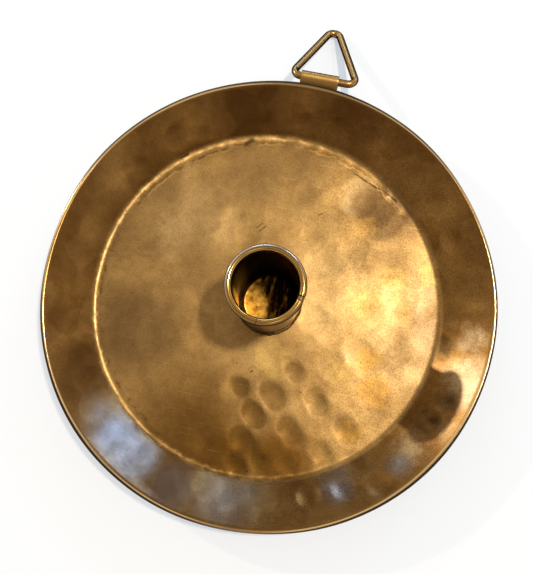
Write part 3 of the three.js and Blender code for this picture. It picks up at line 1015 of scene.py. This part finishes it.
# Painted shade: dark lines round the curl and across the seam's notch; the line at the crack is the crack
# itself.
def dark_lip_lines(tree, place):
    own = in_socket(tree, place)
    out = from_axis(tree, own)
    high = remap(tree, part_of(tree, own, "Z"), *LIP_START)
    dark = near(tree, out, 12.75 * MM, 0.22 * MM)
    dark = larger(tree, dark, remap(tree, out, 13.45 * MM, 13.75 * MM))
    for azimuth, width in ((SEAM_AZIMUTH, 1.1 * MM), (CRACK_AZIMUTH, 0.12 * MM)):
        turned = moved(tree, own, turn=-azimuth)
        beside = without_sign(tree, part_of(tree, turned, "Y"))
        cut = remap(tree, beside, 0.8 * width, width, 1.0, 0.0)
        cut = times(tree, cut, remap(tree, part_of(tree, turned, "X"), 10 * MM, 11 * MM))
        dark = larger(tree, dark, cut)
    return times(tree, dark, high), LIP_SHADE_AND_CRACK, 0.15


socket_brass = aged_brass(
    "rolled_socket_brass", (0.70, 0.43, 0.13), (0.52, 0.30, 0.08), (0.13, 0.20), coarse=0.4,
    layers=(soot_and_shade_in_bore, brown_in_bore, lit_patch_in_bore, brown_tube, grey_lip_and_reflection, dark_lip_lines),
)
print("finish:", socket_brass.name)

# %% [markdown]
# ## The candle socket
# The socket is a strip rolled into a tube, so its ends meet in a seam, and its top edge is curled outwards
# round a wire to make a strong, round lip. A cylinder would have no seam and no curl. The bending plan is
# drawn once, up the tube and round the curl, and swung not quite all the way round, which leaves the seam
# by itself. The curl stops short of the seam, so the faces there are deleted and the wire shows.

# %% Roll the socket
def move_to(piece, place, turn=(0, 0, 0)):
    """Moves and turns a piece that was shaped round the origin, and puts both into its mesh."""
    only(piece)
    piece.location = place
    piece.rotation_euler = turn
    bpy.ops.object.transform_apply(location=True, rotation=True)


SOCKET_SHEET = 0.55 * MM
SOCKET_BORE = 22.8 * MM
LIP_WIRE = 1.25 * MM
LIP_CLEARANCE = 0.12 * MM
LIP_CURL = math.radians(280)
LIP_NOTCH = 1.5 * MM
SEAM_GAP = 0.03 * MM
SOCKET_SIDES = 192

bore_radius = SOCKET_BORE / 2
socket_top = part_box("candle_socket")[1].z
curl_inside = LIP_WIRE / 2 + LIP_CLEARANCE
curl_outside = curl_inside + SOCKET_SHEET
lip_radius = bore_radius + curl_outside
lip_height = socket_top - curl_outside

line = SheetLine("rolled_socket", bore_radius + SOCKET_SHEET / 2, PAN_SHEET, math.pi / 2)
line.run(lip_height - PAN_SHEET, parts=36)
line.bend(-LIP_CURL, curl_inside + SOCKET_SHEET / 2, steps=22)
seam_angle = SEAM_GAP / bore_radius
socket = line.turn_round(SOCKET_SIDES, math.tau - seam_angle)
socket.rotation_euler.z = SEAM_AZIMUTH + seam_angle / 2
only(socket)
bpy.ops.object.transform_apply(rotation=True)

bpy.ops.object.mode_set(mode="EDIT")
bpy.ops.mesh.select_mode(type="FACE")
bpy.ops.mesh.select_all(action="DESELECT")
mesh = bmesh.from_edit_mesh(socket.data)
for face in mesh.faces:
    middle = face.calc_center_median()
    aside = math.atan2(middle.y, middle.x) - SEAM_AZIMUTH
    in_curl = middle.z > lip_height or middle.xy.length > bore_radius + SOCKET_SHEET
    face.select_set(in_curl and abs(aside) * lip_radius < LIP_NOTCH / 2)
bmesh.update_edit_mesh(socket.data)
bpy.ops.mesh.delete(type="FACE")
bpy.ops.mesh.select_mode(type="VERT")
bpy.ops.object.mode_set(mode="OBJECT")
thicken(socket, SOCKET_SHEET)
smooth(socket)
move_to(socket, socket_axis.xy.to_3d(), SOCKET_LEAN)
settle(socket, "plate", "candle_socket", socket_brass)

# %% [markdown]
# ## The wire in the lip
# Only a short piece of this wire shows, in the notch at the seam. It is a round section swung round the
# axis. Its ends meet in the notch, where they were hammered thick, and Shrink/Fatten swells the wire there.

# %% Lay the lip wire
WIRE_SWELL = 0.55 * MM
WIRE_SIDES = 16
SWELL_REACH = 0.6 * LIP_NOTCH
wire_brass = aged_brass("lip_wire_brass", (0.42, 0.26, 0.12), (0.26, 0.15, 0.06))
bpy.ops.object.select_all(action="DESELECT")
bpy.ops.mesh.primitive_circle_add(
    vertices=WIRE_SIDES, radius=LIP_WIRE / 2, location=(lip_radius, 0, lip_height), rotation=(math.pi / 2, 0, 0)
)
lip_wire = bpy.context.object
lip_wire.name = "lip_wire_round"
bpy.ops.object.transform_apply(location=True, rotation=True)
bpy.ops.object.mode_set(mode="EDIT")
swing_round(SOCKET_SIDES)
bpy.ops.mesh.select_all(action="DESELECT")
mesh = bmesh.from_edit_mesh(lip_wire.data)
for vertex in mesh.verts:
    aside = math.atan2(vertex.co.y, vertex.co.x) - SEAM_AZIMUTH
    vertex.select_set(abs(aside) * lip_radius < SWELL_REACH)
bpy.ops.transform.shrink_fatten(value=WIRE_SWELL)
bpy.ops.object.mode_set(mode="OBJECT")
smooth(lip_wire)
move_to(lip_wire, socket_axis.xy.to_3d(), SOCKET_LEAN)
settle(lip_wire, "plate", "lip_wire", wire_brass)

# %% [markdown]
# ## The disc in the socket
# A candle stands on a small disc with a beaten-up edge. It is drawn like the pan, and its edge is knocked
# about with many small blows, up and down, because that edge was bent by hand with pliers.

# %% Soot and painted shade on the disc
DISC_SOOT_AND_SHADE = (0.03, 0.016, 0.004)


def soot_and_shade_on_disc(tree, place):
    """Soot and old wax lie in streaks on the right side of the disc, over painted shadow where the socket's own
    shadow falls, and painted shade runs all along its edge.
    """
    around = moved(tree, place, move=(-socket_axis.x, -socket_axis.y, 0))
    across = part_of(tree, moved(tree, around, turn=math.radians(-15) - PICTURE_TURN), "X")
    streaks = noise(tree, moved(tree, place, turn=math.radians(-35), scale=(700, 170, 300)), 1.0, 4.0)
    frayed = plus(tree, across, remap(tree, streaks, 0.25, 0.75, -7 * MM, 7 * MM))
    sooty = remap(tree, frayed, -3.0 * MM, 8.0 * MM)
    at_edge = remap(tree, from_axis(tree, around), 10.4 * MM, 10.8 * MM)
    return larger(tree, sooty, at_edge), DISC_SOOT_AND_SHADE, 0.4


soot_and_shade_brass = aged_brass(
    "soot_and_shade_disc_brass", (0.90, 0.50, 0.08), (0.34, 0.16, 0.02), (0.30, 0.42), 420.0, layers=(soot_and_shade_on_disc,)
)
print("finish:", soot_and_shade_brass.name)

# %% [markdown]
# The disc itself is a floor and one bend. Its edge stops a little short of the bore, so that a dark line
# runs round it.

# %% Make the disc
DISC_SHEET = 0.7 * MM
DISC_CLEARANCE = 0.5 * MM
DISC_EDGE_BEND = 1.2 * MM
DISC_EDGE_LIFT = 0.4 * MM
DISC_EDGE_TURN = math.radians(55)
DISC_BLOWS = 26
edge_radius = DISC_EDGE_BEND + DISC_SHEET / 2
edge_width = (edge_radius + DISC_SHEET / 2) * math.sin(DISC_EDGE_TURN)
edge_width += DISC_EDGE_LIFT * math.cos(DISC_EDGE_TURN)

line = SheetLine("socket_disc", 0.0, PAN_SHEET + DISC_SHEET / 2)
line.run(bore_radius - DISC_CLEARANCE - edge_width, parts=14)
line.bend(DISC_EDGE_TURN, edge_radius, steps=5)
line.run(DISC_EDGE_LIFT, parts=2)
disc = line.turn_round(128)
disc_radius = line.at.x
blows = []
for number in range(DISC_BLOWS):
    angle = (number + chance.uniform(-0.3, 0.3)) * math.tau / DISC_BLOWS
    place = Vector((disc_radius * math.cos(angle), disc_radius * math.sin(angle), line.at.z))
    lift = chance.uniform(-0.25, 0.2) * MM
    push = Vector((-0.3 * lift * math.cos(angle), -0.3 * lift * math.sin(angle), lift))
    blows.append((place, push, 1.6 * MM))
strike(disc, blows, "SMOOTH")
thicken(disc, DISC_SHEET)
smooth(disc)
move_to(disc, socket_axis.xy.to_3d())
settle(disc, "plate", "socket_floor", soot_and_shade_brass)

# %% [markdown]
# ## Solder round the socket's foot
# Solder runs into the corner between tube and floor and sets in a hollow fillet, never quite even. The
# fillet's outline is drawn and swung round the socket, and then pulled into lumps.

# %% Run the foot solder
FOOT_SOLDER = 0.6 * MM
SOLDER_GAP = 0.1 * MM
SOLDER_FEATHER = 0.1 * MM
SOLDER_LUMPS = 60
solder_brown = aged_brass("old_solder", (0.20, 0.115, 0.045), (0.09, 0.05, 0.02), (0.4, 0.55), 300.0)
foot_inside = bore_radius + SOCKET_SHEET + SOLDER_GAP
line = SheetLine("foot_fillet", foot_inside, PAN_SHEET)
line.run(FOOT_SOLDER, parts=3)
line.heading = math.pi / 2
line.run(SOLDER_FEATHER)
line.heading = math.pi
line.bend(-math.pi / 2, FOOT_SOLDER - SOLDER_FEATHER, steps=6)
line.heading = math.pi
line.run(SOLDER_FEATHER)
line.heading = -math.pi / 2
line.run(FOOT_SOLDER, parts=2)
foot = line.turn_round(144)
blows = []
for _ in range(SOLDER_LUMPS):
    angle = chance.uniform(0, math.tau)
    out = Vector((math.cos(angle), math.sin(angle), 0))
    place = out * (foot_inside + 0.3 * MM) + Vector((0, 0, PAN_SHEET + 0.25 * MM))
    push = (out + Vector((0, 0, 1))) * chance.uniform(-0.08, 0.2) * MM
    blows.append((place, push, chance.uniform(1.0, 2.2) * MM))
strike(foot, blows, "SMOOTH")
smooth(foot, 60)
move_to(foot, socket_axis.xy.to_3d())
settle(foot, "plate", "foot_solder", solder_brown)

# %% [markdown]
# ## The hinge strap
# A short strip lies along the wall under the hem, and its free end is rolled into a knuckle for the ring.
# Its bending plan is one run and one long bend, pulled sideways to the strip's width.

# %% Roll the strap
STRAP_SHEET = 0.65 * MM
STRAP_LEAF = 12 * MM
KNUCKLE_CLEARANCE = 0.2 * MM
KNUCKLE_TURN = math.radians(325)
RING_WIRE = 2.9 * MM
STRAP_PARTS = 20
STRAP_EDGE = 0.08 * MM
DARK_EDGE = (0.2, 0.12, 0.05)
# The strap's edges get painted shade where they turn away from above.
strap_brass = aged_brass(
    "rubbed_strap_brass", (0.66, 0.42, 0.15), (0.52, 0.31, 0.10), coarse=0.4, edge=DARK_EDGE,
    away_shade=(0.3, 0.75),
)
strap_low, strap_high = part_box("hinge_strap")
strap_width = strap_high.x - strap_low.x
strap_middle = (strap_low.x + strap_high.x) / 2
hinge = Vector(frame["joints"][0]["pos_m"])
knuckle_radius = RING_WIRE / 2 + KNUCKLE_CLEARANCE + STRAP_SHEET / 2
up_wall = Vector((math.cos(wall_slope), math.sin(wall_slope)))
off_wall = Vector((math.sin(wall_slope), -math.cos(wall_slope)))
strap_start = Vector((hinge.y, hinge.z)) - off_wall * knuckle_radius - up_wall * STRAP_LEAF

line = SheetLine("hinge_strap_rolled", strap_start.x, strap_start.y, wall_slope)
line.run(STRAP_LEAF, parts=16)
line.bend(-KNUCKLE_TURN, knuckle_radius, steps=40)
bpy.ops.mesh.select_all(action="SELECT")
for _ in range(STRAP_PARTS):
    bpy.ops.mesh.extrude_region_move(TRANSFORM_OT_translate={"value": (0, strap_width / STRAP_PARTS, 0)})
bpy.ops.object.mode_set(mode="OBJECT")
strap = line.piece
strap.rotation_euler.z = math.pi / 2
strap.location.x = strap_middle + strap_width / 2
only(strap)
bpy.ops.object.transform_apply(location=True, rotation=True)
thicken(strap, STRAP_SHEET)
apply_modifier(
    strap, "BEVEL", width=STRAP_EDGE, segments=2, limit_method="ANGLE", angle_limit=math.radians(50)
)
smooth(strap)
settle(strap, "plate", "hinge_strap", strap_brass)

# %% [markdown]
# ## Solder behind the strap
# The strip is flat and the wall is round, so solder fills the room between them. It has no shape of its
# own, only that of the room, so a copy of its solid is remeshed and roughened.

# %% Fill behind the strap
LUMP_SIZE = 2.0 * MM
LUMP_HEIGHT = 0.25 * MM
SOLDER_VOXEL = 0.2 * MM
bpy.ops.object.select_all(action="DESELECT")
strap_solder = frame["nodes"]["strap_solder"].copy()
strap_solder.data = strap_solder.data.copy()
for key in list(strap_solder.keys()):
    del strap_solder[key]
strap_solder.parent = None
strap_solder.name = "strap_solder_run"
bpy.context.scene.collection.objects.link(strap_solder)
only(strap_solder)
bpy.ops.object.mode_set(mode="EDIT")
bpy.ops.mesh.select_all(action="SELECT")
bpy.ops.mesh.remove_doubles(threshold=WELD)
bpy.ops.object.mode_set(mode="OBJECT")
apply_modifier(strap_solder, "REMESH", mode="VOXEL", voxel_size=SOLDER_VOXEL)
lumps = bpy.data.textures.new("solder_lumps", "CLOUDS")
lumps.noise_scale = LUMP_SIZE
apply_modifier(
    strap_solder, "DISPLACE", texture=lumps, texture_coords="LOCAL", strength=LUMP_HEIGHT, mid_level=0.6
)
smooth(strap_solder, 80)
settle(strap_solder, "plate", "strap_solder", solder_brown)

# %% [markdown]
# ## The hanging ring
# One wire, bent three times. Its round section starts inside the knuckle, where the wire's two ends meet,
# and is then pulled along each straight with Extrude and swung round each corner with Spin, the way the
# wire was bent round a peg. The finished triangle is laid flat first and then swung down on the hinge.

# %% Bend the ring
RING_WIDTH = 23.7 * MM
RING_REACH = 27.1 * MM
RING_CORNER = 2.8 * MM
RING_END_GAP = 0.5 * MM
CORNER_STEPS = 16
RING_SIDES = 24
# The ring's edges get painted shade where the wire turns away from above.
ring_brass = aged_brass(
    "drawn_wire_brass", (0.62, 0.39, 0.15), (0.50, 0.29, 0.10), (0.22, 0.30), coarse=0.1, edge=DARK_EDGE,
    away_shade=(0.45, 0.92),
)
ring_drop = math.asin((hinge.z - RING_WIRE / 2) / RING_REACH)
half_base = RING_WIDTH / 2 - RING_CORNER
side = Vector((-half_base, RING_REACH - 2 * RING_CORNER, 0))
lean = math.atan2(side.y, side.x)

bpy.ops.object.select_all(action="DESELECT")
bpy.ops.mesh.primitive_circle_add(
    vertices=RING_SIDES,
    radius=RING_WIRE / 2,
    fill_type="NGON",
    location=(RING_END_GAP / 2, 0, 0),
    rotation=(0, math.pi / 2, 0),
)
ring = bpy.context.object
ring.name = "hanging_ring_wire"
bpy.ops.object.transform_apply(location=True, rotation=True)
bpy.ops.object.mode_set(mode="EDIT")
bpy.ops.mesh.select_all(action="SELECT")


def pull(step, parts=8):
    for _ in range(parts):
        bpy.ops.mesh.extrude_region_move(TRANSFORM_OT_translate={"value": step / parts})


def swing(centre, turn):
    bpy.ops.mesh.spin(steps=CORNER_STEPS, angle=turn, center=centre, axis=(0, 0, -1))


base_run = Vector((half_base - RING_END_GAP / 2, 0, 0))
pull(base_run)
swing(Vector((half_base, RING_CORNER, 0)), lean)
pull(side)
swing(Vector((0, RING_REACH - RING_CORNER, 0)), math.tau - 2 * lean)
pull(Vector((-half_base, -side.y, 0)))
swing(Vector((-half_base, RING_CORNER, 0)), lean)
pull(base_run)
bpy.ops.mesh.select_all(action="SELECT")
bpy.ops.mesh.normals_make_consistent(inside=False)
bpy.ops.object.mode_set(mode="OBJECT")
ring.rotation_euler.x = -ring_drop
ring.location = hinge
only(ring)
bpy.ops.object.transform_apply(location=True, rotation=True)
smooth(ring, 50)
settle(ring, "ring", "hanging_ring", ring_brass)

# %% [markdown]
# ## The table
# The plate lies on a plain white table. Only a part of that white is light that falls on it, so that the
# plate's shadow stays soft, and the rest is a faint glow, which the camera and the metal see alike.

# %% Lay the table
TABLE_GLOW = 0.54
TABLE_SIZE = 30.0
TABLE_WHITE = (0.6, 0.6, 0.6, 1.0)
GLOW_COLOUR = (0.78, 0.88, 1.0, 1.0)
low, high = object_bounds()
bpy.ops.object.select_all(action="DESELECT")
bpy.ops.mesh.primitive_plane_add(size=TABLE_SIZE, location=(0, 0, low.z))
table = bpy.context.object
table.name = "table"
table_white = bpy.data.materials.new("table_white")
table_white.use_nodes = True
tree = table_white.node_tree
shader = tree.nodes["Principled BSDF"]
shader.inputs["Base Color"].default_value = TABLE_WHITE
shader.inputs["Roughness"].default_value = 0.9
shader.inputs["Specular IOR Level"].default_value = 0.0
shader.inputs["Emission Color"].default_value = GLOW_COLOUR
path = tree.nodes.new("ShaderNodeLightPath")
seen = larger(tree, path.outputs["Is Camera Ray"], path.outputs["Is Glossy Ray"])
seen = larger(tree, seen, path.outputs["Is Transmission Ray"])
tree.links.new(times(tree, seen, TABLE_GLOW), shader.inputs["Emission Strength"])
table.data.materials.append(table_white)
print("table height, mm:", round(low.z / MM, 2))

# %% [markdown]
# ## Lamps and room
# Metal shows what is around it. A warm lamp stands low at the upper left of the picture and throws the
# socket's shadow on the wall of the pan, a soft lamp hangs high at the right, and two cool windows stand on
# the far side. The room itself is a dim glow over a pale band all round the table. It is brighter on some
# sides than on others, written as soft patches of the world's light.

# %% Hang the lamps
def towards(azimuth, elevation):
    """A direction from the plate. The azimuth is counted in the picture, anticlockwise from its right."""
    turn = math.radians(azimuth) + PICTURE_TURN
    rise = math.radians(elevation)
    return Vector((math.cos(turn) * math.cos(rise), math.sin(turn) * math.cos(rise), math.sin(rise)))


def lamp(name, azimuth, elevation, distance, size, power, colour):
    """An oval area light that looks at the plate."""
    direction = towards(azimuth, elevation)
    bpy.ops.object.light_add(type="AREA", location=direction * distance)
    light = bpy.context.object
    light.name = name
    light.rotation_euler = direction.to_track_quat("Z", "Y").to_euler()
    light.data.shape = "ELLIPSE"
    light.data.size, light.data.size_y = size
    light.data.energy = power
    light.data.color = colour
    return light


LAMPS = [  # name, azimuth, elevation, distance, width and height in metres, watts, colour
    ("low_warm_lamp", 147, 27.0, 1.2, (0.03, 0.03), 2.8, (1.0, 0.89, 0.72)),
    ("window_right", 57, 23, 1.4, (0.5, 0.2), 2.3, (0.42, 0.62, 1.0)),
    ("window_middle", 95, 21, 1.4, (0.7, 0.15), 2.3, (0.45, 0.67, 1.0)),
    ("high_soft_lamp", 18, 71, 1.2, (0.1, 0.1), 6.2, (1.0, 0.92, 0.78)),
]
DIRECT_ONLY = ("low_warm_lamp", "window_right", "window_middle")  # their sparks would only be noise
for settings in LAMPS:
    light = lamp(*settings)
    if light.name in DIRECT_ONLY:
        light.data.cycles.max_bounces = 0
print("lamps:", [settings[0] for settings in LAMPS])

# %% [markdown]
# The room is the world's light: a dim warm glow everywhere, pale near the horizon, with soft patches of
# light where the photograph shows bright reflections in the metal.

# %% Light the room
world = bpy.data.worlds.new("room")
bpy.context.scene.world = world
world.use_nodes = True
room = world.node_tree
sky = room.nodes.new("ShaderNodeTexCoord").outputs["Generated"]
ROOM_DIM = (0.30, 0.235, 0.16)
HORIZON_PALE = (0.85, 0.85, 0.84)
WARM_WHITE = (1.0, 0.92, 0.80)
PATCHES = [  # name, azimuth, elevation, even within this angle, gone at this angle, strength
    ("ceiling", 118, 76, 6, 24, 0.35),
    ("right_side", 8, 30, 10, 50, 0.2),
    ("left_side", 172, 30, 10, 50, 0.1),
    ("far_left_side", 130, 26, 10, 40, 0.3),
    ("near_ceiling", 290, 60, 4, 14, 1.0),
]


def soft_patch(light, name, azimuth, elevation, core, edge, strength):
    """Adds a patch of light round a direction: even within the core angle, gone at the edge angle."""
    facing = room.nodes.new("ShaderNodeVectorMath")
    facing.operation = "DOT_PRODUCT"
    room.links.new(sky, facing.inputs[0])
    facing.inputs[1].default_value = towards(azimuth, elevation)
    amount = remap(room, facing.outputs["Value"], math.cos(math.radians(edge)), math.cos(math.radians(core)))
    amount = times(room, amount, strength)
    amount.node.name = name
    return blend(room, 1.0, light, blend(room, amount, (0.0, 0.0, 0.0), WARM_WHITE), "ADD")


height = without_sign(room, part_of(room, sky, "Z"))
horizon = remap(room, height, math.sin(math.radians(12)), math.sin(math.radians(19)), 1.0, 0.0)
light = blend(room, horizon, ROOM_DIM, HORIZON_PALE)
for patch in PATCHES:
    light = soft_patch(light, *patch)
room.links.new(light, room.nodes["Background"].inputs["Color"])
bpy.context.scene.view_settings.view_transform = "Standard"
print("patches of light:", len(PATCHES))
